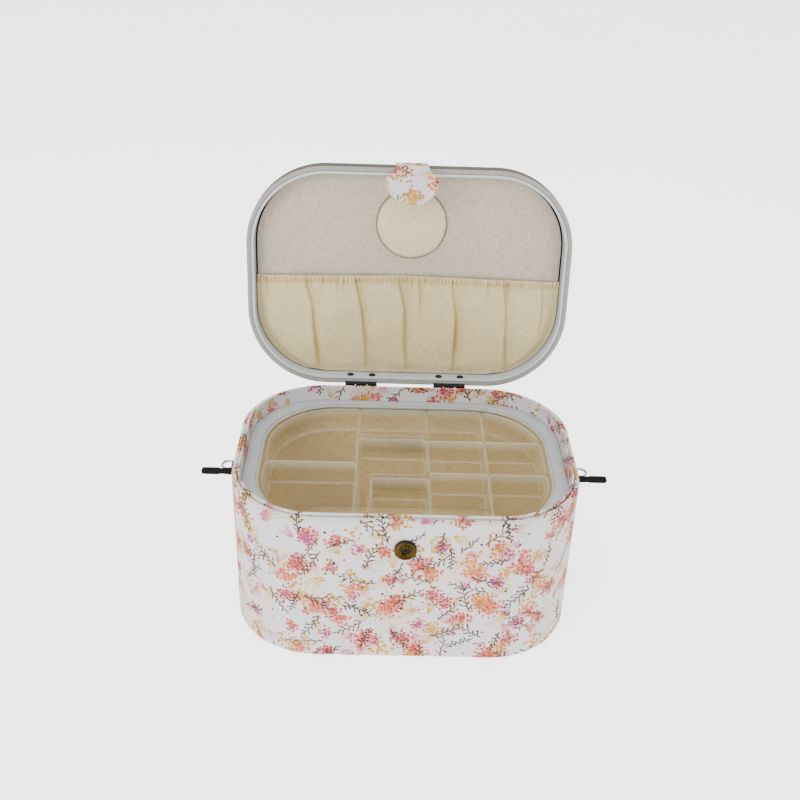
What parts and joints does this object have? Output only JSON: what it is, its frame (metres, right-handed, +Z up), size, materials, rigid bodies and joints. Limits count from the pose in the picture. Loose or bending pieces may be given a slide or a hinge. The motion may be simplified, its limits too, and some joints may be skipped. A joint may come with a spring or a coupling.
{
  "type": "sewing basket",
  "caption": "Fabric-covered sewing basket with a hinged padded lid, magnetic snap flap, gathered lid pocket, pincushion and a clear lift-out divided tray.",
  "frame": {"origin": "middle of the basket's foot, on the surface that it stands on", "axes": "+X to the right seen from the front, +Y to the back where the hinges are, +Z up; the lid is open at rest"},
  "size_m": [0.367, 0.2663, 0.3652],
  "materials": {
    "print_fabric": "printed cotton, loose floral of coral, mustard and brown on white",
    "foam_padding": "soft foam, hidden",
    "grey_board": "pressed grey board, hidden",
    "linen": "plain beige linen with flecks",
    "cream_cotton": "plain cream cotton",
    "grey_plastic": "pale grey, satin",
    "clear_plastic": "clear, slightly warm",
    "black_metal": "black, satin",
    "old_brass": "dark antique brass",
    "magnet": "dark plated magnet",
    "steel": "plain steel",
    "black_strap": "black woven strap"
  },
  "bodies": {
    "basket": {"body_cover": "print_fabric", "bottom_cover": "print_fabric", "rim_liner": "print_fabric", "body_padding": "foam_padding", "body_board": "grey_board", "base_board": "grey_board", "floor_lining": "linen", "wall_lining": "linen", "ledge_ring": "grey_plastic", "hinge_leaf_lower_left": "black_metal", "hinge_leaf_lower_right": "black_metal", "hinge_pin_left": "black_metal", "hinge_pin_right": "black_metal", "body_rivet_left_left": "black_metal", "body_rivet_left_right": "black_metal", "body_rivet_right_left": "black_metal", "body_rivet_right_right": "black_metal", "snap_socket": "old_brass", "snap_magnet": "magnet", "snap_washer": "steel", "strap_loop_left": "black_strap", "strap_loop_right": "black_strap"},
    "lid": {"lid_cover": "print_fabric", "lid_padding": "foam_padding", "lid_frame": "grey_board", "lid_board": "grey_board", "lid_trim": "linen", "lid_ring": "grey_plastic", "lid_lining": "linen", "pincushion": "cream_cotton", "pocket": "cream_cotton", "pocket_elastic": "cream_cotton", "hinge_leaf_upper_left": "black_metal", "hinge_leaf_upper_right": "black_metal", "lid_rivet_left_left": "black_metal", "lid_rivet_left_right": "black_metal", "lid_rivet_right_left": "black_metal", "lid_rivet_right_right": "black_metal", "flap_root": "print_fabric"},
    "tray": {"tray": "clear_plastic"},
    "flap_neck": {"flap_neck": "print_fabric"},
    "flap_tongue": {"flap_tongue": "print_fabric", "snap_stud": "old_brass"},
    "left_strap": {"strap_ring_left": "steel", "strap_tab_left": "black_strap"},
    "right_strap": {"strap_ring_right": "steel", "strap_tab_right": "black_strap"}
  },
  "joints": [
    {"name": "lid_hinge", "type": "hinge", "parent": "basket", "child": "lid", "pos_m": [0, 0.1061, 0.152], "axis": [-1, 0, 0], "range_deg": [-97.7, 0]},
    {"name": "flap_fold", "type": "hinge", "parent": "lid", "child": "flap_neck", "pos_m": [0, 0.13464, 0.36157], "axis": [1, 0, 0], "range_deg": [-47, 0]},
    {"name": "flap_lift", "type": "hinge", "parent": "flap_neck", "child": "flap_tongue", "pos_m": [0, 0.12559, 0.36445], "axis": [-1, 0, 0], "range_deg": [-4, 90]},
    {"name": "tray_lift", "type": "slide", "parent": "basket", "child": "tray", "axis": [0, 0, 1], "range_m": [0, 0.06]},
    {"name": "left_strap_swing", "type": "hinge", "parent": "basket", "child": "left_strap", "pos_m": [-0.1552, 0, 0.1195], "axis": [0, 1, 0], "range_deg": [-80, 80]},
    {"name": "right_strap_swing", "type": "hinge", "parent": "basket", "child": "right_strap", "pos_m": [0.1552, 0, 0.1195], "axis": [0, -1, 0], "range_deg": [-80, 80]}
  ],
  "couplings": [
    {"joint": "flap_fold", "follows": "lid_hinge", "ratio": 0.481}
  ]
}
